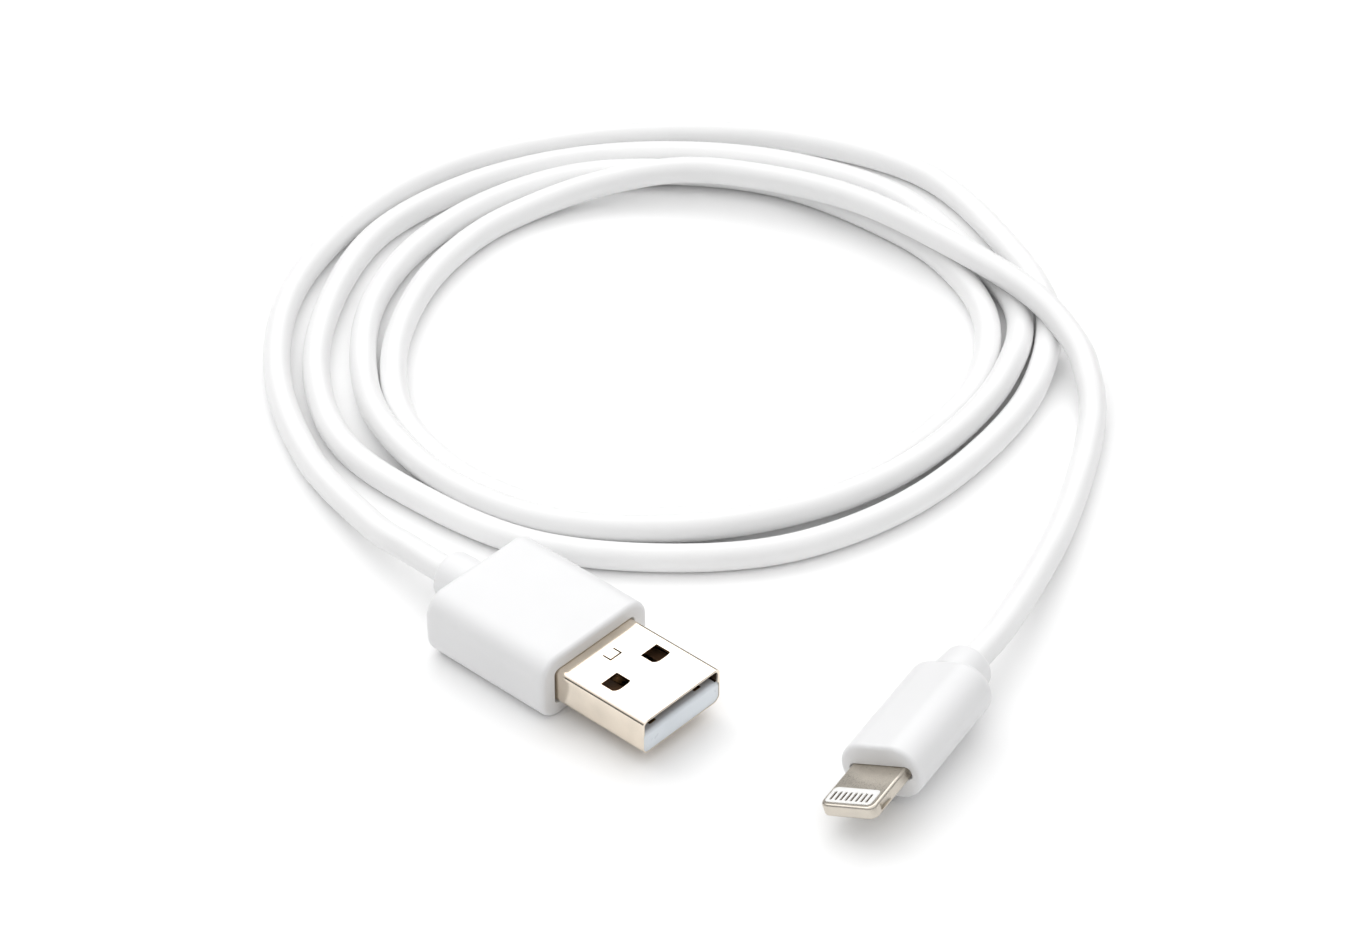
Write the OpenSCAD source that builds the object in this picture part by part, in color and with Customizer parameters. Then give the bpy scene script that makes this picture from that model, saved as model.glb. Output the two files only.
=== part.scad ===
// Charging cable: a USB-A plug, a white cord wound in a loose loop, and a small
// reversible 8-pin plug. Everything lies on the plane Z = 0. The USB plug points
// along -Y, and the origin is on the floor under the middle of that plug.

/* [USB plug] */
// Width of the metal shell
usb_shell_w = 12.0; // [11.6:0.1:12.2]
// Height of the metal shell
usb_shell_h = 4.5; // [4.3:0.1:4.7]
// Length of the shell that shows in front of the boot
usb_shell_out = 12.4; // [11:0.1:13]
// Width of the moulded boot
usb_boot_w = 16.5; // [16:0.1:18]
// Height of the moulded boot
usb_boot_h = 8; // [7.5:0.5:9]
// Length of the moulded boot
usb_boot_l = 17.5; // [17:0.1:24]
// Length of the collar behind the boot
usb_collar_l = 4.2; // [2:0.1:5]

/* [8-pin plug] */
// Width of the metal tab
tab_w = 6.7; // [6.5:0.1:6.9]
// Thickness of the metal tab
tab_t = 1.5; // [1.4:0.1:1.6]
// Length of the tab that shows in front of the boot
tab_out = 7.2; // [7:0.1:7.6]
// Width of the small boot
pin_boot_w = 9.8; // [9.4:0.1:12]
// Thickness of the small boot
pin_boot_h = 6.5; // [6:0.1:7]
// Length of the small boot
pin_boot_l = 16.3; // [15:0.1:20]
// Length of the collar behind the small boot
pin_collar_l = 3.5; // [2:0.1:5]

/* [Cord] */
// Outside diameter of the cord
cord_d = 3.2; // [2.8:0.1:3.2]
// Flat sides round the swept cord
cord_sides = 8; // [8:1:12]

/* [Hidden] */
$fn = 48;
eps = 0.01;
cord_r = cord_d / 2;

// USB plug, measured along Y from the tip of the shell
usb_l = usb_shell_out + usb_boot_l + usb_collar_l;
usb_tip = -usb_l / 2;
usb_z = usb_boot_h / 2;
boot_front = usb_tip + usb_shell_out;
boot_back = boot_front + usb_boot_l;
usb_back = usb_l / 2;
shell_wall = 0.3;
shell_edges = [0.5, 0.9];              // radii of the shell's upper and lower long edges
shell_inner_edges = [0.5, 0.6];
shell_inside = 7.3;                    // length of the shell hidden in the boot
shell_back = boot_front + shell_inside;
window = [2.5, 2.1];                   // latch windows, two on each broad side
window_x = 3.1;
window_y = 5.9;                        // from the boot to the middle of a window
lance = [1.6, 1.2];                    // a springy tongue cut in the upper side
lance_y = 2.5;
slit = 0.2;
tongue_gap = 0.1;
tongue_h = (usb_shell_h - 2 * shell_wall) / 2 + 0.35;
tongue_set = 0.1;                      // how far the tongue stops short of the tip
tongue_edge = 0.6;
flange_l = 0.35;                       // a flange in front fills most of the shell's mouth
flange_lip = 0.12;                     // and leaves this much metal below and beside it
flange_edge = 0.8;
contact_t = 0.25;
contact_w = 1.0;
contact_lip = 0.05;                    // how far a contact stands above the tongue
outer_set = 0.8;                       // how far the contacts start behind the tongue's edge
inner_set = 2.0;
contact_end = shell_back + 2.5;
mould = [12.8, 5.3];
mould_edge = 0.8;
pocket_gap = [0.3, 0.1];               // the boot's front face has a pocket round the shell
pocket_l = 1.0;
pocket_edge = 0.7;
boot_edge = 2.7;
boot_end_edge = 0.8;
mould_front = boot_front + 1.8;
mould_back = boot_back - 2.6;
mould_wall = 0.8;
clamp_l = 2.0;                         // cord held by the inner mould
mould_back_wall = 1.0;
jacket_start = mould_back - clamp_l;
crimp = [0.25, 0.9];                   // thickness and length of the band on the cord's end
wire_r = 0.45;
wire_sides = 8;
wire_spread = 0.6;                     // from the cord's axis to a wire, both ways
wire_lap = 1.8;                        // how far a wire lies on its contact
wire_drop = 0.6;
contact_xs = [-3.5, -1.0, 1.0, 3.5];   // gnd, d+, d-, vbus seen from behind

// Small plug: it lies on the floor, turned and rolled. In its own frame the tab points along
// +X from pin_place, where the boot ends.
pin_heading = -168.5;
pin_roll = 20;
pin_z = pin_boot_h / 2 + (pin_boot_w - pin_boot_h) / 2 * sin(pin_roll) + 0.02;
pin_place = [6.9, -38.5, pin_z];
pin_axis = [cos(pin_heading), sin(pin_heading), 0];
pin_boot_edge = 0.5;
pin_pocket_gap = [0.4, 0.1];           // and the small boot has one round the tab
pin_pocket_l = 0.6;
pin_pocket_edge = 0.6;
tab_in = 3.0;
tab_corner = 1.0;
tab_edge = 0.3;                        // radius of the tab's long edges
tab_front_edge = 0.4;
opening = [2.6, 5.7];                  // hole through the tab that holds the insert
opening_place = [5.3, -0.15];
opening_corner = 0.5;
latch_x = 4.8;                         // scoops in both edges of the tab
latch_r = 2.0;
latch_depth = 0.3;
latch_h = 0.8;
pin_count = 8;
pin_pitch = 0.63;
groove = [1.35, 0.3, 0.2];             // grooves in the insert, with a contact deep in each
groove_place = [5.45, -0.25];
pin_contact_t = 0.12;
board = [7.5, 5.6, 0.6];
chip = [2.4, 2.0, 0.7];
can = [9.5, 7.4, 4.0];
can_wall = 0.2;
can_edge = 0.6;
can_front = -2.6;
small_wire_r = 0.35;
small_wire_lap = 1.6;                  // how far a wire lies on the board
small_wire_spread = 0.5;
small_mould = [2.4, 6.6, 4.0];
small_crimp = [0.2, 1.0];
pin_back = pin_boot_l + pin_collar_l;
pin_jacket_start = -(tab_in + board[0] + 2.2);
cord_exit = pin_place - pin_back * pin_axis;

// The cord's route. It leaves the USB plug, makes three turns and two thirds of a
// fourth, clockwise seen from above, and comes back to the small plug. Each turn
// has one radius every 20 degrees about loop_centre, starting on the -X side.
floor_z = cord_r;
loop_centre = [49.8, 29.8];
step = 20;
leave_usb = [[0, usb_back, usb_z], [0.3, 23.8, 3.7], [1.3, 30.8, 2.9]];
turn_radii = [
    [46.5, 46, 46, 45.5, 45, 43.5, 43.5, 45, 46.5, 45, 45, 43, 41, 40.5, 40.5, 40, 40.5],
    [40.5, 42, 41.5, 41, 41.5, 40.5, 39.5, 39, 39.5, 40.5, 40, 41.5, 39.5, 37.5, 36.5, 36, 36.5, 37.5],
    [37.5, 37, 36, 36, 36, 36, 36, 35, 35, 35, 36.5, 37.5, 36.5, 34.5, 33.5, 33, 33.5, 34.5],
    [34.5, 34, 32.5, 31.5, 31.5, 32, 32, 32, 32, 33.5, 36, 42.5]];
radii = [for (turn = turn_radii) for (r = turn) r];
first_angle = 160;
// Where the cord leans on its neighbour or lies over other turns: [first point, heights]
lifts = [[29, [2.8, 2.8, 2.8, 2.8, 2.8, 2.8, 2.8, 2.8]],
         [59, [2.6, 4.0, 4.4, 4.6, 4.8, 4.8]]];
reach_pin = [[79.3, -6.9, 3.8], [75.5, -12.2, 2.8], [71.8, -15.7, 1.8], [66.3, -19.2, 1.6],
             [59.8, -22.7, 1.6], [51.8, -26.5, 2.0], [44, -29.6, 2.7], [37.8, -31.8, 3.3],
             [32.1, -33.5, 3.7], cord_exit];

function lifted(i) =
    let (found = [for (l = lifts) if (i >= l[0] && i < l[0] + len(l[1])) l[1][i - l[0]]])
    len(found) > 0 ? found[0] : floor_z;
function on_loop(i) =
    let (a = first_angle - step * i)
    [loop_centre[0] + radii[i] * cos(a), loop_centre[1] + radii[i] * sin(a), lifted(i)];
route = concat(leave_usb, [for (i = [0:len(radii) - 1]) on_loop(i)], reach_pin);

function unit(v) = v / norm(v);
function ring(centre, along, r, n) =
    let (side = unit(cross(along, [0, 0, 1])), up = cross(side, along))
    [for (k = [0:n - 1])
        let (a = 360 * (k + 0.5) / n)
        centre + r * (cos(a) * side + sin(a) * up)];
function heading(path, i, first, final) =
    i == 0 ? first :
    i == len(path) - 1 ? final :
    unit(path[i + 1] - path[i - 1]);

// One closed tube of n sides and radius r along a path, square to first and final at its ends
module sweep(path, first, final, r, n) {
    last = len(path) - 1;
    points = [for (i = [0:last]) each ring(path[i], heading(path, i, first, final), r, n)];
    walls = [for (i = [0:last - 1]) for (k = [0:n - 1])
        let (a = i * n + k, b = i * n + (k + 1) % n)
        each [[a, b, a + n], [b, b + n, a + n]]];
    start_cap = [for (k = [n - 1:-1:0]) k];
    end_cap = [for (k = [0:n - 1]) last * n + k];
    polyhedron(points, concat(walls, [start_cap], [end_cap]), convexity = 10);
}

// A flat rectangle with round corners, centred on the origin
module round_rect(size, r) {
    square([size[0] - 2 * r, size[1]], center = true);
    square([size[0], size[1] - 2 * r], center = true);
    for (sx = [-1, 1]) for (sy = [-1, 1])
        translate([sx * (size[0] / 2 - r), sy * (size[1] / 2 - r)]) circle(r);
}

// A bar along Y with a round-cornered section, from y = a to y = b
module bar_y(section, r, a, b) {
    translate([0, b, usb_z]) rotate([90, 0, 0]) linear_extrude(b - a) round_rect(section, r);
}

// A rod along Y on the USB plug's axis
module rod_y(r, a, b) {
    translate([0, b, usb_z]) rotate([90, 0, 0]) cylinder(h = b - a, r = r);
}

// A bar and a rod along X, in the small plug's frame
module bar_x(section, r, a, b) {
    translate([a, 0, 0]) rotate([90, 0, 90]) linear_extrude(b - a) round_rect(section, r);
}

module rod_x(r, a, b) {
    translate([a, 0, 0]) rotate([0, 90, 0]) cylinder(h = b - a, r = r);
}

// The shell's section, with one radius for the upper corners and one for the lower
module shell_section(size, radii) {
    w = size[0];
    h = size[1];
    square([w - 2 * radii[1], h], center = true);
    translate([radii[0] - w / 2, 0]) square([w - 2 * radii[0], h / 2]);
    translate([-w / 2, radii[1] - h / 2]) square([w, h - radii[0] - radii[1]]);
    for (sx = [-1, 1]) {
        translate([sx * (w / 2 - radii[0]), h / 2 - radii[0]]) circle(radii[0]);
        translate([sx * (w / 2 - radii[1]), radii[1] - h / 2]) circle(radii[1]);
    }
}

module shell_bar(size, radii, a, b) {
    translate([0, b, usb_z]) rotate([90, 0, 0]) linear_extrude(b - a) shell_section(size, radii);
}

// The space that the whole shell takes, from y = a to y = b
module shell_space(a, b) { shell_bar([usb_shell_w, usb_shell_h], shell_edges, a, b); }

module usb_shell() {
    inner = [usb_shell_w - 2 * shell_wall, usb_shell_h - 2 * shell_wall];
    color("gainsboro") difference() {
        shell_space(usb_tip, shell_back);
        shell_bar(inner, shell_inner_edges, usb_tip - eps, shell_back + eps);
        flange_bar(usb_tip - eps, usb_tip + flange_l);
        for (sx = [-1, 1])
            translate([sx * window_x, boot_front - window_y, usb_z])
                cube([window[0], window[1], usb_shell_h + 1], center = true);
        // The U-shaped slit round the springy tongue
        translate([0, boot_front - lance_y, usb_z + usb_shell_h / 2]) {
            for (sx = [-1, 1])
                translate([sx * lance[0] / 2, 0, 0]) cube([slit, lance[1], 1], center = true);
            translate([0, (slit - lance[1]) / 2, 0]) cube([lance[0], slit, 1], center = true);
        }
    }
}

shell_floor = usb_z - usb_shell_h / 2;
tongue_top = shell_floor + shell_wall + tongue_h;

// A bar along Y from z = low to the tongue's top, its two lower edges round
module tongue_bar(w, low, r, a, b) {
    h = tongue_top - low;
    translate([0, b, low]) rotate([90, 0, 0]) linear_extrude(b - a) {
        translate([r - w / 2, 0]) square([w - 2 * r, h]);
        translate([-w / 2, r]) square([w, h - r]);
        for (sx = [-1, 1]) translate([sx * (w / 2 - r), r]) circle(r);
    }
}

module flange_bar(a, b) {
    tongue_bar(usb_shell_w - 2 * flange_lip, shell_floor + flange_lip, flange_edge, a, b);
}

module tongue_block() {
    w = usb_shell_w - 2 * shell_wall - 2 * tongue_gap;
    flange_bar(usb_tip + tongue_set, usb_tip + flange_l);
    tongue_bar(w, shell_floor + shell_wall, tongue_edge, usb_tip + flange_l, shell_back);
}

contact_top = tongue_top + contact_lip;

// A contact strip, set back from the tongue's front edge
module contact_strip(x, set_back) {
    start = usb_tip + tongue_set + set_back;
    translate([x - contact_w / 2, start, contact_top - contact_t])
        cube([contact_w, contact_end - start, contact_t]);
}

module usb_insulator() {
    color("aliceblue") difference() {
        tongue_block();
        contact_strip(contact_xs[0], outer_set);
        contact_strip(contact_xs[1], inner_set);
        contact_strip(contact_xs[2], inner_set);
        contact_strip(contact_xs[3], outer_set);
    }
}

module usb_contact_gnd() { color("gold") contact_strip(contact_xs[0], outer_set); }
module usb_contact_dplus() { color("gold") contact_strip(contact_xs[1], inner_set); }
module usb_contact_dminus() { color("gold") contact_strip(contact_xs[2], inner_set); }
module usb_contact_vbus() { color("gold") contact_strip(contact_xs[3], outer_set); }

module usb_inner_mould() {
    cavity = [mould[0] - 2 * mould_wall, mould[1] - 2 * mould_wall];
    color("ivory") difference() {
        bar_y(mould, mould_edge, mould_front, mould_back);
        shell_space(mould_front - eps, shell_back);
        bar_y(cavity, mould_edge / 2, shell_back - eps, mould_back - mould_back_wall);
        rod_y(cord_r, jacket_start, mould_back + eps);
    }
}

// The boot's outside: round-edged seen from the front, from above and from the side
module usb_boot_body() {
    middle = (boot_front + boot_back) / 2;
    intersection() {
        bar_y([usb_boot_w, usb_boot_h], boot_edge, boot_front, boot_back);
        translate([0, middle, 0]) linear_extrude(usb_boot_h)
            round_rect([usb_boot_w, usb_boot_l], boot_end_edge);
        translate([-usb_boot_w / 2, middle, usb_z]) rotate([90, 0, 90])
            linear_extrude(usb_boot_w) round_rect([usb_boot_l, usb_boot_h], boot_end_edge);
    }
}

module usb_boot() {
    pocket = [usb_shell_w + 2 * pocket_gap[0], usb_shell_h + 2 * pocket_gap[1]];
    color("white") difference() {
        usb_boot_body();
        bar_y(pocket, pocket_edge, boot_front - eps, boot_front + pocket_l);
        shell_space(boot_front, mould_front + eps);
        bar_y(mould, mould_edge, mould_front, mould_back);
        rod_y(cord_r, mould_back - eps, boot_back + eps);
    }
}

// A collar turned about Z: widest at the plug, round at the cord end
module collar_body(l, r_plug, r_end, edge) {
    rotate_extrude() union() {
        polygon([[cord_r, 0], [r_plug, 0], [r_end, l - edge], [r_end - edge, l], [cord_r, l]]);
        translate([r_end - edge, l - edge]) intersection() {
            circle(edge);
            square(edge + eps);
        }
    }
}

module usb_collar() {
    color("white") translate([0, boot_back, usb_z]) rotate([-90, 0, 0])
        collar_body(usb_collar_l, 2.9, 2.75, 0.4);
}

module usb_jacket_end() { color("white") rod_y(cord_r, jacket_start, usb_back); }

module usb_crimp() {
    color("silver") difference() {
        rod_y(cord_r + crimp[0], jacket_start, jacket_start + crimp[1]);
        rod_y(cord_r, jacket_start - eps, jacket_start + crimp[1] + eps);
    }
}

// A wire from the cord's cut end to the tail of the contact at x
module usb_wire(x, side_x, side_z) {
    r = wire_r / cos(180 / wire_sides);
    start = [side_x * wire_spread, jacket_start, usb_z + side_z * wire_spread];
    low = contact_top + wire_r;
    path = [start, start - [0, 1, 0], [x, contact_end + wire_drop, low],
            [x, contact_end - wire_lap, low]];
    sweep(path, [0, -1, 0], [0, -1, 0], r, wire_sides);
}

module usb_wire_black() { color("black") usb_wire(contact_xs[0], -1, -1); }
module usb_wire_green() { color("green") usb_wire(contact_xs[1], -1, 1); }
module usb_wire_white() { color("white") usb_wire(contact_xs[2], 1, 1); }
module usb_wire_red() { color("red") usb_wire(contact_xs[3], 1, -1); }

module cord_jacket() { color("white") sweep(route, [0, 1, 0], pin_axis, cord_r, cord_sides); }

// Puts the small plug's parts where it lies
module in_pin_plug() {
    translate(pin_place) rotate([pin_roll, 0, pin_heading]) children();
}

module tab_outline() {
    l = tab_out + tab_in;
    translate([(tab_out - tab_in) / 2, 0]) round_rect([l, tab_w], tab_corner);
}

// The tab's outside: round-edged seen from above, from the front and from the side
module tab_body() {
    intersection() {
        translate([0, 0, -tab_t / 2]) linear_extrude(tab_t) tab_outline();
        bar_x([tab_w, tab_t], tab_edge, -tab_in, tab_out);
        translate([(tab_out - tab_in) / 2, tab_w / 2, 0]) rotate([90, 0, 0])
            linear_extrude(tab_w) round_rect([tab_out + tab_in, tab_t], tab_front_edge);
    }
}

module opening_outline() { translate(opening_place) round_rect(opening, opening_corner); }

module pin_tab() {
    color("silver") in_pin_plug() difference() {
        tab_body();
        translate([0, 0, -tab_t]) linear_extrude(2 * tab_t) opening_outline();
        // The latch scoops at both edges of the tab
        for (sy = [-1, 1])
            translate([latch_x, sy * (tab_w / 2 + latch_r - latch_depth), 0])
                cylinder(h = latch_h, r = latch_r, center = true);
    }
}

// The eight grooves of one side, or bars of thickness t at their bottoms: side is 1 above
// and -1 below
module pin_row(side, t) {
    middle = tab_t / 2 - groove[2] + t / 2;
    for (i = [0:pin_count - 1]) {
        y = groove_place[1] + (i - (pin_count - 1) / 2) * pin_pitch;
        translate([groove_place[0], y, side * middle])
            cube([groove[0], groove[1], t], center = true);
    }
}

module pin_insert() {
    color("white") in_pin_plug() difference() {
        translate([0, 0, -tab_t / 2]) linear_extrude(tab_t) opening_outline();
        pin_row(1, groove[2] + eps);
        pin_row(-1, groove[2] + eps);
    }
}

module pin_contacts_top() { color("gold") in_pin_plug() pin_row(1, pin_contact_t); }
module pin_contacts_bottom() { color("gold") in_pin_plug() pin_row(-1, pin_contact_t); }

board_mid = -tab_in - board[0] / 2;

module pin_board() {
    color("darkgreen") in_pin_plug() translate([board_mid, 0, 0]) cube(board, center = true);
}

module pin_chip() {
    color("dimgray") in_pin_plug()
        translate([board_mid + 1, 0, (board[2] + chip[2]) / 2]) cube(chip, center = true);
}

can_back = can_front - can[0];

module pin_shield() {
    color("silver") in_pin_plug() difference() {
        bar_x([can[1], can[2]], can_edge, can_back, can_front);
        bar_x([can[1] - 2 * can_wall, can[2] - 2 * can_wall], can_edge - can_wall,
              can_back - eps, can_front + eps);
    }
}

module pin_inner_mould() {
    color("ivory") in_pin_plug() difference() {
        bar_x([small_mould[1], small_mould[2]], mould_edge, can_back - small_mould[0], can_back);
        rod_x(cord_r + small_crimp[0], can_back - small_mould[0] - eps, can_back + eps);
    }
}

module pin_boot() {
    cavity = [can[1], can[2]];
    pocket = [tab_w + 2 * pin_pocket_gap[0], tab_t + 2 * pin_pocket_gap[1]];
    color("white") in_pin_plug() difference() {
        intersection() {
            bar_x([pin_boot_w, pin_boot_h], pin_boot_h / 2 - eps, -pin_boot_l, 0);
            translate([-pin_boot_l / 2, 0, -pin_boot_h / 2]) linear_extrude(pin_boot_h)
                round_rect([pin_boot_l, pin_boot_w], pin_boot_edge);
        }
        tab_body();
        bar_x(pocket, pin_pocket_edge, -pin_pocket_l, eps);
        bar_x(cavity, can_edge, can_back, can_front);
        bar_x([small_mould[1], small_mould[2]], mould_edge, can_back - small_mould[0], can_back);
        rod_x(cord_r, -pin_boot_l - eps, can_back);
    }
}

module pin_collar() {
    color("white") in_pin_plug() translate([-pin_boot_l, 0, 0]) rotate([0, -90, 0])
        collar_body(pin_collar_l, 3.1, 2.8, 0.7);
}

module pin_jacket_end() {
    color("white") in_pin_plug() rod_x(cord_r, -pin_back, pin_jacket_start);
}

module pin_crimp() {
    color("silver") in_pin_plug() difference() {
        rod_x(cord_r + small_crimp[0], pin_jacket_start - small_crimp[1], pin_jacket_start);
        rod_x(cord_r, pin_jacket_start - small_crimp[1] - eps, pin_jacket_start + eps);
    }
}

// A wire from the cord's cut end to a pad on the upper side of the board
module pin_wire(y, side_y, side_z) {
    r = small_wire_r / cos(180 / wire_sides);
    start = [pin_jacket_start, side_y * small_wire_spread, side_z * small_wire_spread];
    board_back = -tab_in - board[0];
    pad_z = board[2] / 2 + small_wire_r;
    path = [start, start + [0.5, 0, 0], [board_back + 0.1, y, pad_z],
            [board_back + small_wire_lap, y, pad_z]];
    in_pin_plug() sweep(path, [1, 0, 0], [1, 0, 0], r, wire_sides);
}

module pin_wire_black() { color("black") pin_wire(-2.1, -1, -1); }
module pin_wire_green() { color("green") pin_wire(-0.7, -1, 1); }
module pin_wire_white() { color("white") pin_wire(0.7, 1, 1); }
module pin_wire_red() { color("red") pin_wire(2.1, 1, -1); }

usb_shell();
usb_insulator();
usb_contact_vbus();
usb_contact_dminus();
usb_contact_dplus();
usb_contact_gnd();
usb_inner_mould();
usb_boot();
usb_collar();
usb_jacket_end();
usb_crimp();
usb_wire_red();
usb_wire_white();
usb_wire_green();
usb_wire_black();
cord_jacket();
pin_tab();
pin_insert();
pin_contacts_top();
pin_contacts_bottom();
pin_board();
pin_chip();
pin_shield();
pin_inner_mould();
pin_boot();
pin_collar();
pin_jacket_end();
pin_crimp();
pin_wire_red();
pin_wire_white();
pin_wire_green();
pin_wire_black();
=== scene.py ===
"""Charging cable: a USB-A plug, a white cord in a loose loop and a small reversible plug.

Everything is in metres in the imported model's frame: Z up, the floor at Z = 0, the USB plug
pointing along -Y with the origin under its middle. MM turns millimetres into metres.
"""
import math

import bmesh
import bpy
from mathutils import Matrix, Vector


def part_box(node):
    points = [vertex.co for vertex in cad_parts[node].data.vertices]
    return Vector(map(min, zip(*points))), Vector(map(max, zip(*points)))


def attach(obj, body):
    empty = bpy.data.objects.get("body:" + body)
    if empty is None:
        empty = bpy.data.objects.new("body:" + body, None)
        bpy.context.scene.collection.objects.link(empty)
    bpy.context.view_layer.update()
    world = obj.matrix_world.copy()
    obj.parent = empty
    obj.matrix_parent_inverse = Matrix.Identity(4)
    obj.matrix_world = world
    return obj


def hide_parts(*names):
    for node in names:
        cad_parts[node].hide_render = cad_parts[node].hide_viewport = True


MM = 0.001
TINY = 1e-6
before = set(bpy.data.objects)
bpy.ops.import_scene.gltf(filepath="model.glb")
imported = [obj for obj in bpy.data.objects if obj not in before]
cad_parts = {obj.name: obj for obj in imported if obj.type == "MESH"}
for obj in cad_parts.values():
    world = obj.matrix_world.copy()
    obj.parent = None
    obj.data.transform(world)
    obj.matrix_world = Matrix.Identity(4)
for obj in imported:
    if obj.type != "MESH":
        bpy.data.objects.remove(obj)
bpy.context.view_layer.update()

# --- Sizes, in metres -------------------------------------------------------------------

CORD_D = 3.2 * MM
USB_LOW, USB_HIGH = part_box("usb_boot")
USB_Z = (USB_LOW[2] + USB_HIGH[2]) / 2
SHELL_LOW, SHELL_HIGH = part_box("usb_shell")
SHELL_W = SHELL_HIGH[0] - SHELL_LOW[0]
SHELL_H = SHELL_HIGH[2] - SHELL_LOW[2]
SHELL_WALL = 0.3 * MM
COLLAR_LOW, COLLAR_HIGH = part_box("usb_collar")
USB_EXIT = Vector((0, COLLAR_HIGH[1], USB_Z))

PIN_BOOT_W, PIN_BOOT_H, PIN_BOOT_L = 9.8 * MM, 6.5 * MM, 16.3 * MM
PIN_COLLAR_L = 3.5 * MM
TAB_W, TAB_T, TAB_OUT = 6.7 * MM, 1.5 * MM, 7.2 * MM
PIN_HEADING = math.radians(-168.5)
PIN_ROLL = math.radians(20)
PIN_Z = PIN_BOOT_H / 2 + (PIN_BOOT_W - PIN_BOOT_H) / 2 * math.sin(PIN_ROLL) + 0.02 * MM
PIN_FRAME = (Matrix.Translation((6.9 * MM, -38.5 * MM, PIN_Z))
             @ Matrix.Rotation(PIN_HEADING, 4, "Z")
             @ Matrix.Rotation(PIN_ROLL, 4, "X"))

# --- Camera -----------------------------------------------------------------------------

CAMERA_TARGET = Vector((34.4, 13.7, 0)) * MM
CAMERA_DISTANCE = 510.8 * MM
CAMERA_PITCH = math.radians(38.22)
CAMERA_HEADING = math.radians(42.07)
LENS = 118.4


def make_camera():
    data = bpy.data.cameras.new("camera")
    data.lens = LENS
    data.sensor_width = 36
    data.clip_start = 0.01
    data.clip_end = 20
    camera = bpy.data.objects.new("camera", data)
    bpy.context.collection.objects.link(camera)
    flat = math.cos(CAMERA_PITCH)
    look = Vector((flat * math.cos(CAMERA_HEADING), flat * math.sin(CAMERA_HEADING),
                   -math.sin(CAMERA_PITCH)))
    camera.location = CAMERA_TARGET - look * CAMERA_DISTANCE
    camera.rotation_euler = look.to_track_quat("-Z", "Y").to_euler()
    bpy.context.scene.camera = camera


# --- Materials --------------------------------------------------------------------------

NOISE_LOW, NOISE_HIGH = 0.3, 0.7  # most of a noise texture's values lie between these


def new_material(name, color, roughness, metallic=0.0):
    mat = bpy.data.materials.new(name)
    mat.use_nodes = True
    shader = mat.node_tree.nodes["Principled BSDF"]
    shader.inputs["Base Color"].default_value = (*color, 1)
    shader.inputs["Roughness"].default_value = roughness
    shader.inputs["Metallic"].default_value = metallic
    return mat, shader


def add(mat, kind, **sockets):
    """A new node, with some of its sockets set by name."""
    node = mat.node_tree.nodes.new(kind)
    for key, value in sockets.items():
        node.inputs[key.replace("_", " ")].default_value = value
    return node


def link(mat, a, b):
    mat.node_tree.links.new(a, b)


def noise(mat, scale, detail, stretch=(1, 1, 1)):
    """A noise texture in object space, with its scale in features per metre."""
    where = add(mat, "ShaderNodeTexCoord")
    sized = add(mat, "ShaderNodeMapping")
    sized.inputs["Scale"].default_value = stretch
    link(mat, where.outputs["Object"], sized.inputs["Vector"])
    node = add(mat, "ShaderNodeTexNoise", Scale=scale, Detail=detail)
    link(mat, sized.outputs["Vector"], node.inputs["Vector"])
    return node.outputs["Fac"]


def spread(mat, value, low, high):
    """Spreads the middle of a 0 to 1 value over low to high."""
    node = add(mat, "ShaderNodeMapRange")
    node.inputs["From Min"].default_value = NOISE_LOW
    node.inputs["From Max"].default_value = NOISE_HIGH
    node.inputs["To Min"].default_value = low
    node.inputs["To Max"].default_value = high
    link(mat, value, node.inputs["Value"])
    return node.outputs["Result"]


def tint(mat, value, dark, light):
    """A colour between dark and light, following value."""
    node = add(mat, "ShaderNodeValToRGB")
    node.color_ramp.elements[0].position = NOISE_LOW
    node.color_ramp.elements[0].color = (*dark, 1)
    node.color_ramp.elements[1].position = NOISE_HIGH
    node.color_ramp.elements[1].color = (*light, 1)
    link(mat, value, node.inputs["Fac"])
    return node.outputs["Color"]


def bump(mat, shader, height, distance, strength=0.5):
    """Raises the surface by height, up to a distance in metres."""
    node = add(mat, "ShaderNodeBump", Strength=strength, Distance=distance)
    link(mat, height, node.inputs["Height"])
    link(mat, node.outputs["Normal"], shader.inputs["Normal"])


def white_plastic(name, color, roughness, grain, depth):
    """Moulded white plastic: a faint cloud in the colour, uneven gloss and a fine skin."""
    mat, shader = new_material(name, color, roughness)
    cloud = noise(mat, 90, 2)
    darker = tuple(0.97 * c for c in color)
    link(mat, tint(mat, cloud, darker, color), shader.inputs["Base Color"])
    link(mat, spread(mat, noise(mat, 900, 4), roughness - 0.05, roughness + 0.06),
         shader.inputs["Roughness"])
    bump(mat, shader, noise(mat, grain, 2), depth)
    shader.inputs["Specular IOR Level"].default_value = 0.45
    shader.inputs["Subsurface Weight"].default_value = 0.25
    shader.inputs["Subsurface Scale"].default_value = 0.8 * MM
    shader.inputs["Subsurface Radius"].default_value = (1, 1, 1)
    return mat


def metal(name, color, roughness, stretch=(1, 1, 1), depth=2e-6):
    """Plated sheet: fine rolling lines, uneven gloss and a slight change of tint."""
    mat, shader = new_material(name, color, roughness, 1.0)
    lines = noise(mat, 2500, 3, stretch)
    darker = tuple(0.9 * c for c in color)
    link(mat, tint(mat, noise(mat, 350, 3), darker, color), shader.inputs["Base Color"])
    link(mat, spread(mat, lines, roughness * 0.75, roughness * 1.3), shader.inputs["Roughness"])
    bump(mat, shader, lines, depth, 0.3)
    return mat


def plain(name, color, roughness):
    """A small inner part: even colour with a little grain."""
    mat, shader = new_material(name, color, roughness)
    grainy = noise(mat, 1500, 2)
    darker = tuple(0.85 * c for c in color)
    link(mat, tint(mat, grainy, darker, color), shader.inputs["Base Color"])
    bump(mat, shader, grainy, 5e-6, 0.3)
    return mat


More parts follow.
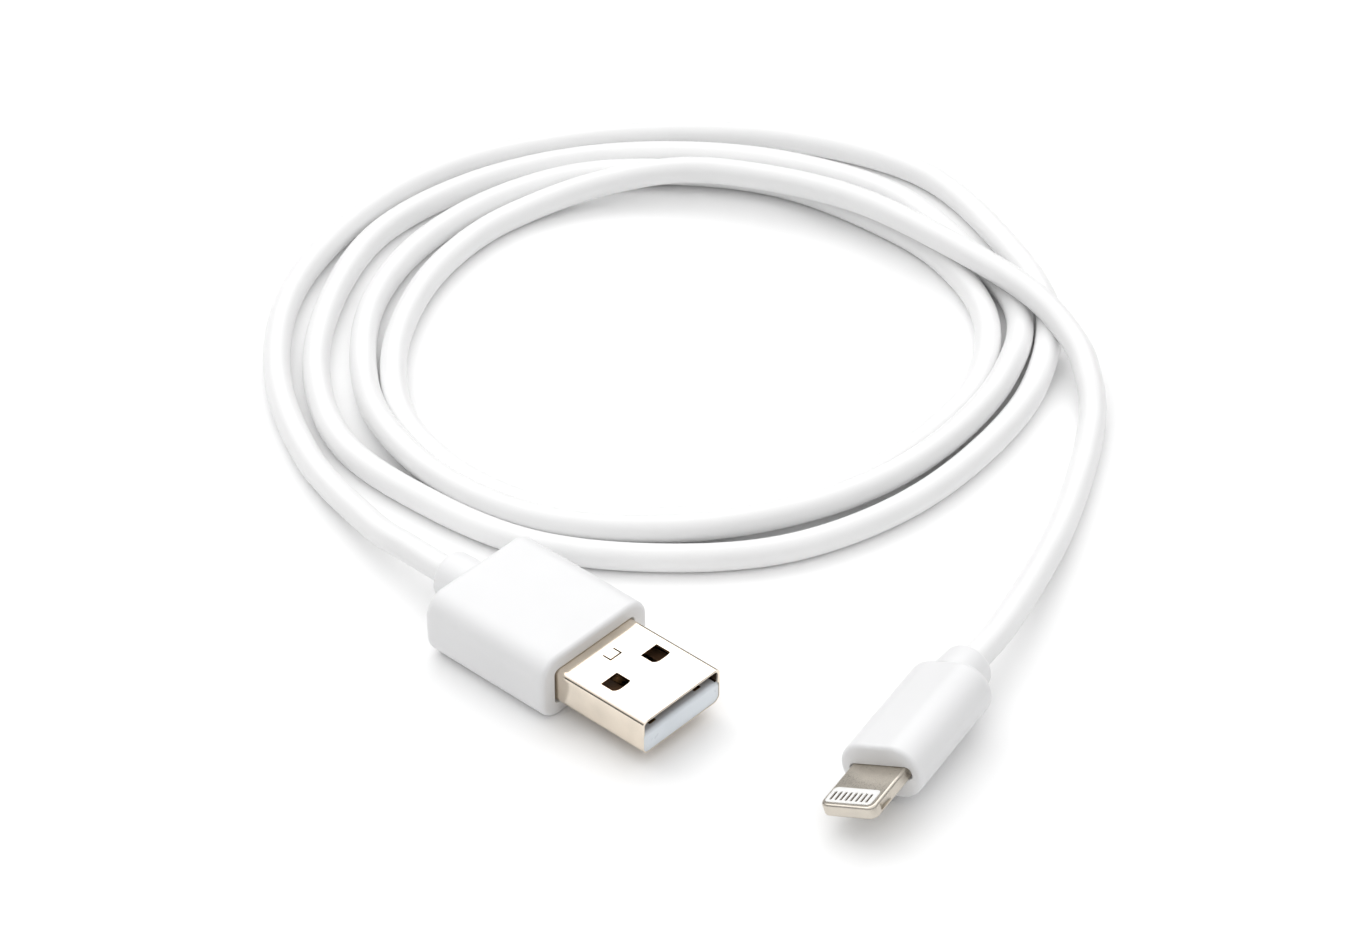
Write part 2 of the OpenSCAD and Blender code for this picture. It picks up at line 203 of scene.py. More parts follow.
def coordinate(mat, axis):
    """One of the object-space coordinates, in metres."""
    where = add(mat, "ShaderNodeTexCoord")
    split = add(mat, "ShaderNodeSeparateXYZ")
    link(mat, where.outputs["Object"], split.inputs["Vector"])
    return split.outputs[axis]


def inside(mat, axis, low, high):
    """1 where the object-space coordinate lies between low and high, and 0 elsewhere."""
    node = mat.node_tree.nodes.new("ShaderNodeMath")
    node.operation = "COMPARE"
    node.inputs[1].default_value = (low + high) / 2
    node.inputs[2].default_value = (high - low) / 2
    link(mat, coordinate(mat, axis), node.inputs[0])
    return node.outputs[0]


def both(mat, a, b):
    """1 where a and b are both 1, and 0 elsewhere."""
    node = mat.node_tree.nodes.new("ShaderNodeMath")
    node.operation = "MULTIPLY"
    link(mat, a, node.inputs[0])
    link(mat, b, node.inputs[1])
    return node.outputs[0]


def mix(mat, factor, socket, color):
    """The socket's colour where factor is 0, and color where it is 1."""
    node = mat.node_tree.nodes.new("ShaderNodeMix")
    node.data_type = "RGBA"
    link(mat, factor, node.inputs[0])
    link(mat, socket, node.inputs[6])
    node.inputs[7].default_value = (*color, 1)
    return node.outputs[2]


def shell_material():
    """Bright nickel outside, with the inside faces painted dark brown as shade."""
    mat = metal("shell_nickel", (0.86, 0.77, 0.655), 0.15, (30, 1, 30))
    shader = mat.node_tree.nodes["Principled BSDF"]
    bright = shader.inputs["Base Color"].links[0].from_socket
    skin = 0.9 * SHELL_WALL  # just short of the wall, so the inner faces are within it
    across = inside(mat, "X", SHELL_LOW[0] + skin, SHELL_HIGH[0] - skin)
    up = inside(mat, "Z", SHELL_LOW[2] + skin, SHELL_HIGH[2] - skin)
    along = inside(mat, "Y", SHELL_LOW[1] + skin, SHELL_HIGH[1])
    # Painted shade: the shell's inner faces are coloured dark brown where its inside lies in
    # shade.
    painted_shade_inside = both(mat, both(mat, across, up), along)
    link(mat, mix(mat, painted_shade_inside, bright, (0.16, 0.1, 0.06)), shader.inputs["Base Color"])
    return mat


# The painted shade on the tongue starts at the first of these distances and is full at the second.
PAINTED_SHADE_FROM, PAINTED_SHADE_FULL = 0.3 * MM, 2.5 * MM  # distances behind the tip of the shell


def tongue_material():
    """White at the mouth of the shell, with painted shade darkening it where it lies deep inside.
    """
    mat = white_plastic("tongue_white", (0.8, 0.85, 0.9), 0.32, 5000, 3e-6)
    shader = mat.node_tree.nodes["Principled BSDF"]
    unshaded_white = shader.inputs["Base Color"].links[0].from_socket
    depth = add(mat, "ShaderNodeMapRange")
    depth.inputs["From Min"].default_value = SHELL_LOW[1] + PAINTED_SHADE_FROM
    depth.inputs["From Max"].default_value = SHELL_LOW[1] + PAINTED_SHADE_FULL
    link(mat, coordinate(mat, "Y"), depth.inputs["Value"])
    # Painted shade: dark brown towards the back of the tongue, where it lies in shade inside the
    # shell.
    link(mat, mix(mat, depth.outputs["Result"], unshaded_white, (0.2, 0.11, 0.06)),
         shader.inputs["Base Color"])
    return mat


def board_material():
    """Green lacquer over pale copper tracks."""
    mat, shader = new_material("board_green", (0.02, 0.2, 0.08), 0.35)
    where = add(mat, "ShaderNodeTexCoord")
    tracks = add(mat, "ShaderNodeTexWave", Scale=600, Distortion=0.4)
    link(mat, where.outputs["Object"], tracks.inputs["Vector"])
    colour = tint(mat, tracks.outputs["Fac"], (0.015, 0.16, 0.07), (0.06, 0.32, 0.14))
    link(mat, colour, shader.inputs["Base Color"])
    return mat


def make_materials():
    wires = {"red": (0.6, 0.03, 0.03), "white": (0.8, 0.8, 0.8), "green": (0.03, 0.35, 0.08),
             "black": (0.02, 0.02, 0.02)}
    made = {
        "jacket": white_plastic("jacket_white", (0.88, 0.88, 0.88), 0.36, 3000, 6e-6),
        "boot": white_plastic("boot_white", (0.815, 0.815, 0.82), 0.4, 5000, 5e-6),
        "insert": white_plastic("insert_white", (0.92, 0.92, 0.9), 0.35, 6000, 2e-6),
        "tongue": tongue_material(),
        "shell": shell_material(),
        "tab": metal("tab_nickel", (0.66, 0.61, 0.535), 0.32, (1, 12, 12), depth=5e-7),
        # Partly the contacts' gold and partly painted shade: a very dark gold for their place
        # inside the shell.
        "gold": metal("contact_gold", (0.22, 0.13, 0.06), 0.3),
        # Painted shade: the small plug's contacts are coloured near-black brown to stand for the
        # shade at the bottom of their grooves.
        "painted_shade_contact": metal("contact_painted_shade", (0.1, 0.068, 0.04), 0.4),
        "can": metal("can_tin", (0.7, 0.7, 0.7), 0.3),
        "mould": white_plastic("mould_ivory", (0.75, 0.72, 0.62), 0.5, 2000, 8e-6),
        "board": board_material(),
        "chip": plain("chip_black", (0.03, 0.03, 0.03), 0.5),
    }
    for name, color in wires.items():
        made["wire_" + name] = plain("wire_" + name, color, 0.4)
    return made


# --- Building blocks --------------------------------------------------------------------

WELD = 1e-7
SHARP = math.radians(35)
LATHE_STEPS = 48


def place(obj, mat, node):
    """Links a finished piece, gives it a material, rides it and has it stand for its node."""
    if obj.name not in bpy.context.collection.objects:
        bpy.context.collection.objects.link(obj)
    obj.data.materials.clear()
    obj.data.materials.append(mat)
    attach(obj, "root")
    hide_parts(node)
    return obj


def mesh_object(name, bm, smooth=True, transform=None):
    """Makes an object of a bmesh, after welding its points and turning its faces outward."""
    bmesh.ops.remove_doubles(bm, verts=bm.verts, dist=WELD)
    bmesh.ops.recalc_face_normals(bm, faces=bm.faces)
    if transform is not None:
        bmesh.ops.transform(bm, matrix=transform, verts=bm.verts)
    mesh = bpy.data.meshes.new(name)
    bm.to_mesh(mesh)
    bm.free()
    if smooth:
        mesh.polygons.foreach_set("use_smooth", [True] * len(mesh.polygons))
        mesh.set_sharp_from_angle(angle=SHARP)
    obj = bpy.data.objects.new(name, mesh)
    bpy.context.collection.objects.link(obj)
    return obj


def round_rect(width, height, radius, steps=8, low_radius=None):
    """The outline of a rectangle with round corners, anticlockwise, as (u, v) points. The
    corners with negative v can have a radius of their own."""
    low_radius = radius if low_radius is None else low_radius
    points = []
    for quarter, (su, sv) in enumerate(((1, 1), (-1, 1), (-1, -1), (1, -1))):
        r = min(radius if sv > 0 else low_radius, width / 2 - TINY, height / 2 - TINY)
        cu = su * (width / 2 - r)
        cv = sv * (height / 2 - r)
        for i in range(steps + 1):
            a = math.pi / 2 * (quarter + i / steps)
            points.append((cu + r * math.cos(a), cv + r * math.sin(a)))
    return points


def loft(name, rings, transform=None):
    """A closed skin through rings of equal length, capped at both ends."""
    bm = bmesh.new()
    rows = [[bm.verts.new(p) for p in ring] for ring in rings]
    n = len(rows[0])
    for a, b in zip(rows, rows[1:]):
        for i in range(n):
            bm.faces.new((a[i], a[(i + 1) % n], b[(i + 1) % n], b[i]))
    bm.faces.new(rows[0])
    bm.faces.new(rows[-1])
    return mesh_object(name, bm, transform=transform)


def end_steps(radius, steps=6):
    """(distance from the end, how far the outline draws in) round an end of that radius."""
    out = []
    for i in range(steps + 1):
        a = math.pi / 2 * i / steps
        out.append((radius * (1 - math.cos(a)), radius * (1 - math.sin(a))))
    return out


LIP = 0.15 * MM  # radius of the edge of a boot's pocket


def boot(name, size, edge, ends, pocket, transform):
    """A moulded boot along +X: size is its length, width and height, edge the radius of its
    long edges, ends the radii at front and back. The front face at X = 0 has a pocket
    (depth, width, height, radius)."""
    length, width, height = size
    depth, pocket_w, pocket_h, pocket_r = pocket
    rings = [(depth, pocket_w, pocket_h, pocket_r)]
    for s, inset in reversed(end_steps(LIP, 4)):
        rings.append((s, pocket_w + 2 * inset, pocket_h + 2 * inset, pocket_r + inset))
    for s, inset in end_steps(ends[0]):
        rings.append((s, width - 2 * inset, height - 2 * inset, edge - inset))
    for s, inset in reversed(end_steps(ends[1])):
        rings.append((length - s, width - 2 * inset, height - 2 * inset, edge - inset))
    skin = []
    for s, w, h, radius in rings:
        skin.append([(s, u, v) for u, v in round_rect(w, h, radius, 12)])
    obj = loft(name, skin, transform)
    even_shading(obj)
    return obj


def lathe(name, profile, transform):
    """Turns a profile of (distance along X, radius) about the X axis."""
    rings = []
    for along, radius in profile:
        ring = []
        for i in range(LATHE_STEPS):
            a = 2 * math.pi * i / LATHE_STEPS
            ring.append((along, radius * math.cos(a), radius * math.sin(a)))
        rings.append(ring)
    return loft(name, rings, transform)


def cut(obj, cutters):
    """Takes the cutters out of obj, and removes them."""
    for cutter in cutters:
        mod = obj.modifiers.new("cut", "BOOLEAN")
        mod.operation = "DIFFERENCE"
        mod.solver = "EXACT"
        mod.object = cutter
    bake(obj)
    for cutter in cutters:
        bpy.data.objects.remove(cutter)


def bake(obj):
    """Applies obj's modifiers to its mesh."""
    graph = bpy.context.evaluated_depsgraph_get()
    mesh = bpy.data.meshes.new_from_object(obj.evaluated_get(graph))
    obj.modifiers.clear()
    obj.data = mesh


def even_shading(obj):
    """Keeps the large flat faces flat where they run into rounded edges."""
    obj.data.set_sharp_from_angle(angle=SHARP)
    mod = obj.modifiers.new("normals", "WEIGHTED_NORMAL")
    mod.keep_sharp = True
    bake(obj)


def block(name, low, high):
    """A box from low to high, to cut with or to bevel."""
    bm = bmesh.new()
    bmesh.ops.create_cube(bm, size=1)
    size = Vector(high) - Vector(low)
    middle = (Vector(high) + Vector(low)) / 2
    shape = Matrix.Translation(middle) @ Matrix.Diagonal((*size, 1))
    bmesh.ops.transform(bm, matrix=shape, verts=bm.verts)
    return mesh_object(name, bm, smooth=False)


def flat_prism(name, outline, low, high):
    """A flat outline of (x, y) points, made solid from low to high in Z."""
    bm = bmesh.new()
    under = [bm.verts.new((x, y, low)) for x, y in outline]
    over = [bm.verts.new((x, y, high)) for x, y in outline]
    bm.faces.new(under)
    bm.faces.new(over)
    for i in range(len(outline)):
        j = (i + 1) % len(outline)
        bm.faces.new((under[i], under[j], over[j], over[i]))
    return mesh_object(name, bm)


def shifted(outline, x, y):
    """The outline, moved by x and y."""
    return [(u + x, v + y) for u, v in outline]


def bevel(obj, width):
    """Rounds off every edge sharper than 40 degrees."""
    mod = obj.modifiers.new("bevel", "BEVEL")
    mod.width = width
    mod.segments = 2
    mod.limit_method = "ANGLE"
    mod.angle_limit = math.radians(40)
    bake(obj)


# --- The cord ---------------------------------------------------------------------------

# The route is the same as the CAD model's: one radius every 20 degrees about LOOP_CENTRE.
LOOP_CENTRE = (49.8, 29.8)
STEP = 20
FIRST_ANGLE = 160
FLOOR_Z = CORD_D / MM / 2
LEAVE_USB = [(0.3, 23.8, 3.7), (1.3, 30.8, 2.9)]
TURN_RADII = [
    [46.5, 46, 46, 45.5, 45, 43.5, 43.5, 45, 46.5, 45, 45, 43, 41, 40.5, 40.5, 40, 40.5],
    [40.5, 42, 41.5, 41, 41.5, 40.5, 39.5, 39, 39.5, 40.5, 40, 41.5, 39.5, 37.5, 36.5, 36, 36.5,
     37.5],
    [37.5, 37, 36, 36, 36, 36, 36, 35, 35, 35, 36.5, 37.5, 36.5, 34.5, 33.5, 33, 33.5, 34.5],
    [34.5, 34, 32.5, 31.5, 31.5, 32, 32, 32, 32, 33.5, 36, 42.5]]
# Runs of points that lie on other turns: the first point's number, and heights in mm.
LIFTS = {29: [2.8] * 8, 59: [2.6, 4.0, 4.4, 4.6, 4.8, 4.8]}
REACH_PIN = [(79.3, -6.9, 3.8), (75.5, -12.2, 2.8), (71.8, -15.7, 1.8), (66.3, -19.2, 1.6),
             (59.8, -22.7, 1.6), (51.8, -26.5, 2.0), (44, -29.6, 2.7), (37.8, -31.8, 3.3),
             (32.1, -33.5, 3.7)]


def cord_height(i):
    """The height in mm of the loop's point i."""
    for first, heights in LIFTS.items():
        if first <= i < first + len(heights):
            return heights[i - first]
    return FLOOR_Z


def cord_route():
    """The cord's points from the USB plug's collar to the small plug's, in metres."""
    points = [Vector(p) * MM for p in LEAVE_USB]
    radii = [r for turn in TURN_RADII for r in turn]
    for i, radius in enumerate(radii):
        a = math.radians(FIRST_ANGLE - STEP * i)
        x = LOOP_CENTRE[0] + radius * math.cos(a)
        y = LOOP_CENTRE[1] + radius * math.sin(a)
        points.append(Vector((x, y, cord_height(i))) * MM)
    points += [Vector(p) * MM for p in REACH_PIN]
    pin_exit = PIN_FRAME @ Vector((-PIN_BOOT_L - PIN_COLLAR_L, 0, 0))
    return [USB_EXIT] + points + [pin_exit]


def make_cord(mats):
    """A smooth curve through the route, straight out of both collars and level on the floor."""
    route = cord_route()
    curve = bpy.data.curves.new("cord", "CURVE")
    curve.dimensions = "3D"
    curve.bevel_depth = CORD_D / 2
    curve.bevel_resolution = 8
    curve.resolution_u = 10
    curve.use_fill_caps = True
    spline = curve.splines.new("BEZIER")
    last = len(route) - 1
    spline.bezier_points.add(last)
    pin_ahead = PIN_FRAME.to_3x3() @ Vector((1, 0, 0))
    for i, point in enumerate(route):
        if i == 0:
            slope = Vector((0, 1, 0)) * (route[1] - point).length
        elif i == last:
            slope = pin_ahead * (point - route[i - 1]).length
        else:
            slope = (route[i + 1] - route[i - 1]) / 2
        if 0 < i < last and abs(point.z - FLOOR_Z * MM) < TINY:
            slope.z = 0
        knot = spline.bezier_points[i]
        knot.co = point
        knot.handle_left_type = knot.handle_right_type = "FREE"
        knot.handle_left = point - slope / 3
        knot.handle_right = point + slope / 3
    obj = bpy.data.objects.new("cord", curve)
    return place(obj, mats["jacket"], "cord_jacket")


# --- USB plug ---------------------------------------------------------------------------

USB_EDGE = 2.7 * MM
USB_ENDS = (0.6 * MM, 0.9 * MM)  # radii at the front and back of the boot
USB_POCKET_L = 1.0 * MM
POCKET_GAPS = (0.4 * MM, 0.04 * MM)  # how much wider and higher the pocket is than the shell
POCKET_EDGE = 0.6 * MM


def usb_frame(y):
    """Turns a shape built along +X into one along +Y, starting at y on the plug's axis."""
    return Matrix.Translation((0, y, USB_Z)) @ Matrix.Rotation(math.pi / 2, 4, "Z")


def make_usb_boot(mats):
    width = USB_HIGH[0] - USB_LOW[0]
    height = USB_HIGH[2] - USB_LOW[2]
    length = USB_HIGH[1] - USB_LOW[1]
    pocket = (USB_POCKET_L, SHELL_W + POCKET_GAPS[0], SHELL_H + POCKET_GAPS[1], POCKET_EDGE)
    skin = boot("usb_boot_skin", (length, width, height), USB_EDGE, USB_ENDS, pocket,
                usb_frame(USB_LOW[1]))
    return place(skin, mats["boot"], "usb_boot")


COLLAR_LAP = 0.5 * MM  # how far a collar reaches into its boot
COLLAR_STEPS = 6


def collar_profile(length, r_plug, r_end, edge):
    """A collar from the boot at X = 0 to its round end at X = length."""
    profile = [(-COLLAR_LAP, r_plug), (0, r_plug), (length - edge, r_end)]
    for i in range(1, COLLAR_STEPS + 1):
        a = math.pi / 2 * i / COLLAR_STEPS
        profile.append((length - edge + edge * math.sin(a), r_end - edge + edge * math.cos(a)))
    return profile


def make_usb_collar(mats):
    length = COLLAR_HIGH[1] - COLLAR_LOW[1]
    profile = collar_profile(length, r_plug=2.9 * MM, r_end=2.75 * MM, edge=0.4 * MM)
    collar = lathe("usb_collar_skin", profile, usb_frame(COLLAR_LOW[1]))
    return place(collar, mats["boot"], "usb_collar")


# The radii of the shell's upper and lower long edges.
SHELL_EDGES = (0.65 * MM, 0.9 * MM)
SHELL_INNER_EDGES = (0.5 * MM, 0.6 * MM)


def shell_tube(name, length, transform):
    """The shell as a thin tube along +X, open at both ends, with a softened front lip."""
    lip = 0.05 * MM

    def section(s, wall, radii):
        outline = round_rect(SHELL_W - 2 * wall, SHELL_H - 2 * wall, radii[0], 8, radii[1])
        return [(s, u, v) for u, v in outline]

    # The loops run back along the outside, forward along the inside and round the front lip.
    loops = [section(lip, 0, SHELL_EDGES), section(length, 0, SHELL_EDGES),
             section(length, SHELL_WALL, SHELL_INNER_EDGES),
             section(lip, SHELL_WALL, SHELL_INNER_EDGES),
             section(0, SHELL_WALL / 2, SHELL_EDGES)]
    bm = bmesh.new()
    rows = [[bm.verts.new(p) for p in loop] for loop in loops]
    n = len(rows[0])
    for a, b in zip(rows, rows[1:] + rows[:1]):
        for i in range(n):
            bm.faces.new((a[i], a[(i + 1) % n], b[(i + 1) % n], b[i]))
    return mesh_object(name, bm, transform=transform)


WINDOW_X = 3.1 * MM
WINDOW_W = 2.5 * MM
WINDOW_L = 2.1 * MM
WINDOW_BACK = 4.85 * MM
WINDOW_BOWS = (0.45 * MM, 0.15 * MM)  # how far the front edge draws back at its -X and +X ends
# A U-shaped slit in the shell's top frees a small spring between the windows.
LANCE_W, LANCE_L, LANCE_Y = 1.6 * MM, 1.2 * MM, 2.5 * MM
SLIT = 0.2 * MM

TONGUE_LOW, TONGUE_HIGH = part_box("usb_insulator")
TONGUE_GAP = 0.1 * MM
TONGUE_EDGE, TONGUE_TOP_EDGE = 0.6 * MM, 0.1 * MM
NOSE = 0.5 * MM  # radius of the tongue's upper front edge
USB_CONTACTS = ("vbus", "dminus", "dplus", "gnd")
FLANGE_L = 0.35 * MM
FLANGE_LIP = 0.12 * MM
FLANGE_EDGE = 0.8 * MM
FLANGE_RISE = 0.01 * MM  # the flange's top stands this much above the tongue's


def window_cutter(x, y_back):
    """A latch window: square at the back, bowed towards the tip."""
    outline = [(x + WINDOW_W / 2, y_back), (x - WINDOW_W / 2, y_back)]
    for i in range(13):
        t = -1 + 2 * i / 12
        bow = WINDOW_BOWS[0] if t < 0 else WINDOW_BOWS[1]
        outline.append((x + WINDOW_W / 2 * t, y_back - WINDOW_L + bow * t ** 4))
    return flat_prism("window", outline, USB_Z - SHELL_H, USB_Z + SHELL_H)


def tongue_outline(width, low, high, radius):
    """Across the tongue, from z = low to z = high, with radius at its lower corners."""
    middle = (low + high) / 2
    outline = round_rect(width, high - low, TONGUE_TOP_EDGE, 6, radius)
    return [(x, z + middle) for x, z in outline]


def flange_outline(high):
    """The tongue's front flange, which fills the mouth of the shell up to z = high."""
    return tongue_outline(SHELL_W - 2 * FLANGE_LIP, SHELL_LOW[2] + FLANGE_LIP, high, FLANGE_EDGE)


def make_usb_shell(mats):
    shell = shell_tube("usb_shell_skin", SHELL_HIGH[1] - SHELL_LOW[1], usb_frame(SHELL_LOW[1]))
    back = USB_LOW[1] - WINDOW_BACK
    cutters = [window_cutter(sx * WINDOW_X, back) for sx in (-1, 1)]
    mouth = [[(x, SHELL_LOW[1] + y, z) for x, z in flange_outline(TONGUE_HIGH[2])]
             for y in (-MM, FLANGE_L)]
    cutters.append(loft("mouth", mouth))
    top = USB_Z + SHELL_H / 2
    y = USB_LOW[1] - LANCE_Y
    for x in (-LANCE_W / 2, LANCE_W / 2):
        cutters.append(block("slit", (x - SLIT / 2, y - LANCE_L / 2, top - MM / 2),
                             (x + SLIT / 2, y + LANCE_L / 2, top + MM / 2)))
    cutters.append(block("slit", (-LANCE_W / 2, y - LANCE_L / 2, top - MM / 2),
                         (LANCE_W / 2, y - LANCE_L / 2 + SLIT, top + MM / 2)))
    cut(shell, cutters)
    even_shading(shell)
    return place(shell, mats["shell"], "usb_shell")


def make_usb_tongue(mats):
    """The white tongue: a front flange, a well rounded upper edge and a groove per contact."""
    front, back, top = TONGUE_LOW[1], TONGUE_HIGH[1], TONGUE_HIGH[2]
    step = SHELL_LOW[1] + FLANGE_L
    low = SHELL_LOW[2] + SHELL_WALL
    width = SHELL_W - 2 * SHELL_WALL - 2 * TONGUE_GAP

    def ring(y, flanged):
        run = max(NOSE - (y - front), 0)
        high = top - NOSE + math.sqrt(NOSE ** 2 - run ** 2)
        if flanged:
            outline = flange_outline(high)
        else:
            outline = tongue_outline(width, low, high - FLANGE_RISE, TONGUE_EDGE)
        return [(x, y, z) for x, z in outline]

    rounded = [front + s for s, _ in end_steps(NOSE, 10)]
    rings = [ring(y, True) for y in rounded if y < step - TINY] + [ring(step, True)]
    rings += [ring(step, False)] + [ring(y, False) for y in rounded if y > step + TINY]
    rings.append(ring(back, False))
    tongue = loft("usb_tongue", rings)
    cutters = []
    for name in USB_CONTACTS:
        a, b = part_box("usb_contact_" + name)
        cutters.append(block("groove", (a[0], a[1], a[2]), (b[0], b[1] + MM, b[2] + MM)))
    cut(tongue, cutters)
    even_shading(tongue)
    return place(tongue, mats["tongue"], "usb_insulator")


def make_usb_contacts(mats):
    for name in USB_CONTACTS:
        low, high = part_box("usb_contact_" + name)
        strip = block("usb_strip_" + name, low, high)
        bevel(strip, 0.06 * MM)
        place(strip, mats["gold"], "usb_contact_" + name)


# --- Small plug, built in its own frame with the tab along +X ----------------------------

PIN_ENDS = (0.5 * MM, 1.1 * MM)
PIN_POCKET_L = 0.6 * MM
PIN_POCKET_GAPS = (0.8 * MM, 0.04 * MM)  # how much wider and higher it is than the tab


def make_pin_boot(mats):
    pocket = (PIN_POCKET_L, TAB_W + PIN_POCKET_GAPS[0], TAB_T + PIN_POCKET_GAPS[1], POCKET_EDGE)
    size = (PIN_BOOT_L, PIN_BOOT_W, PIN_BOOT_H)
    turned = PIN_FRAME @ Matrix.Rotation(math.pi, 4, "Z")
    skin = boot("pin_boot_skin", size, PIN_BOOT_H / 2, PIN_ENDS, pocket, turned)
    return place(skin, mats["boot"], "pin_boot")


def make_pin_collar(mats):
    turned = PIN_FRAME @ Matrix.Translation((-PIN_BOOT_L, 0, 0)) @ Matrix.Rotation(math.pi, 4, "Z")
    profile = collar_profile(PIN_COLLAR_L, r_plug=3.1 * MM, r_end=2.8 * MM, edge=0.7 * MM)
    collar = lathe("pin_collar_skin", profile, turned)
    return place(collar, mats["boot"], "pin_collar")


TAB_IN = 3.0 * MM  # how far the tab reaches into the boot
TAB_CORNER = 1.0 * MM
TAB_EDGE = 0.3 * MM
SCOOP_STEPS = 64
OPENING = (2.6 * MM, 5.7 * MM)
OPENING_PLACE = (5.3 * MM, -0.15 * MM)
OPENING_CORNER = 0.5 * MM
LATCH_X, LATCH_R, LATCH_DEPTH, LATCH_H = 4.8 * MM, 2.0 * MM, 0.3 * MM, 0.8 * MM
GROOVE = (1.5 * MM, 0.33 * MM, 0.2 * MM)  # along the tab, across it, and deep
GROOVE_PLACE = (5.45 * MM, -0.25 * MM)
GROOVE_CORNER = 0.1 * MM
PITCH = 0.63 * MM
CONTACT_T = 0.12 * MM
# A contact's crown: shares of its half length or half width, and of its full height.
CROWN_ALONG = ((-1, 0), (-0.9, 1), (0.9, 1), (1, 0))
CROWN_ACROSS = ((-1, 0), (-0.7, 0.8), (0, 1), (0.7, 0.8), (1, 0))


def tab_ring(inset, height):
    """The tab's outline drawn in by inset, at a height."""
    length = TAB_OUT + TAB_IN - inset
    middle = (TAB_OUT - TAB_IN - inset) / 2
    outline = round_rect(length, TAB_W - 2 * inset, TAB_CORNER - inset, 12)
    return [(x + middle, y, height) for x, y in outline]


def make_tab(mats):
    """The metal tab, round-edged, with a latch scoop in each edge and a hole for the insert."""
    rings = []
    for side in (-1, 1):
        steps = end_steps(TAB_EDGE)
        if side > 0:
            steps.reverse()
        rings += [tab_ring(inset, side * (TAB_T / 2 - s)) for s, inset in steps]
    tab = loft("pin_tab_skin", rings)
    cutters = []
    for sy in (-1, 1):
        scoop = []
        for i in range(SCOOP_STEPS):
            a = 2 * math.pi * i / SCOOP_STEPS
            scoop.append((LATCH_X + LATCH_R * math.cos(a),
                          sy * (TAB_W / 2 + LATCH_R - LATCH_DEPTH) + LATCH_R * math.sin(a)))
        cutters.append(flat_prism("scoop", scoop, -LATCH_H / 2, LATCH_H / 2))
    opening = shifted(round_rect(*OPENING, OPENING_CORNER), *OPENING_PLACE)
    cutters.append(flat_prism("opening", opening, -TAB_T, TAB_T))
    cut(tab, cutters)
    bevel(tab, 0.05 * MM)
    even_shading(tab)
    tab.data.transform(PIN_FRAME)
    return place(tab, mats["tab"], "pin_tab")


def groove_centres():
    """Where the eight grooves lie across the tab."""
    return [GROOVE_PLACE[1] + (i - 3.5) * PITCH for i in range(8)]


def make_insert(mats):
    """The plastic in the opening, with eight grooves on each side."""
    opening = shifted(round_rect(*OPENING, OPENING_CORNER), *OPENING_PLACE)
    insert = flat_prism("pin_insert_skin", opening, -TAB_T / 2, TAB_T / 2)
    long, wide, deep = GROOVE
    groove = shifted(round_rect(long, wide, GROOVE_CORNER, 3), GROOVE_PLACE[0], 0)
    cutters = []
    for y in groove_centres():
        for side in (-1, 1):
            face = side * TAB_T / 2
            low, high = sorted((face - side * deep, face + side * MM))
            cutters.append(flat_prism("groove", shifted(groove, 0, y), low, high))
    cut(insert, cutters)
    bevel(insert, 0.03 * MM)
    even_shading(insert)
    insert.data.transform(PIN_FRAME)
    return place(insert, mats["insert"], "pin_insert")


def make_pin_contacts(mats, node, side):
    """Eight slightly crowned bars at the bottoms of one side's grooves."""
    long, wide, deep = GROOVE
    bm = bmesh.new()
    for y in groove_centres():
        foot = side * (TAB_T / 2 - deep)
        rows = []
        for u, v in CROWN_ALONG:
            row = []
            for w, rise in CROWN_ACROSS:
                height = CONTACT_T * v * rise
                row.append(bm.verts.new((GROOVE_PLACE[0] + u * long / 2, y + w * wide / 2,
                                         foot + side * height)))
            rows.append(row)
        for a, b in zip(rows, rows[1:]):
            for k in range(len(a) - 1):
                bm.faces.new((a[k], a[k + 1], b[k + 1], b[k]))
        bm.faces.new([row[0] for row in rows] + rows[-1][1:-1]
                     + [row[-1] for row in reversed(rows)] + rows[0][-2:0:-1])
    contacts = mesh_object(node + "_skin", bm, transform=PIN_FRAME)
    # Their material is darkened as painted shade for the grooves they sit in.
    return place(contacts, mats["painted_shade_contact"], node)


def make_all():
    """The whole cable, the cord first."""
    mats = make_materials()
    cord = make_cord(mats)
    make_usb_boot(mats)
    make_usb_collar(mats)
    make_usb_shell(mats)
    make_usb_tongue(mats)
    make_usb_contacts(mats)
    pin_pieces = [make_pin_boot(mats), make_pin_collar(mats), make_tab(mats), make_insert(mats),
                  make_pin_contacts(mats, "pin_contacts_top", 1),
                  make_pin_contacts(mats, "pin_contacts_bottom", -1)]
    pin_pieces + finish_nodes(mats)


NODE_MATERIALS = {
    "usb_inner_mould": "mould", "usb_jacket_end": "jacket", "usb_crimp": "can",
    "pin_board": "board", "pin_chip": "chip", "pin_shield": "can",
    "pin_inner_mould": "mould", "pin_jacket_end": "jacket", "pin_crimp": "can"}


def finish_nodes(mats):
    """Gives the hidden CAD pieces their materials, and returns those in the small plug."""
    chosen = dict(NODE_MATERIALS)
    for plug in ("usb", "pin"):
        for colour in ("red", "white", "green", "black"):
            chosen[f"{plug}_wire_{colour}"] = "wire_" + colour
    for node, name in chosen.items():
        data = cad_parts[node].data
        data.materials.clear()
        data.materials.append(mats[name])
    return [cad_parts[node] for node in chosen if node.startswith("pin_")]


# --- Studio -----------------------------------------------------------------------------


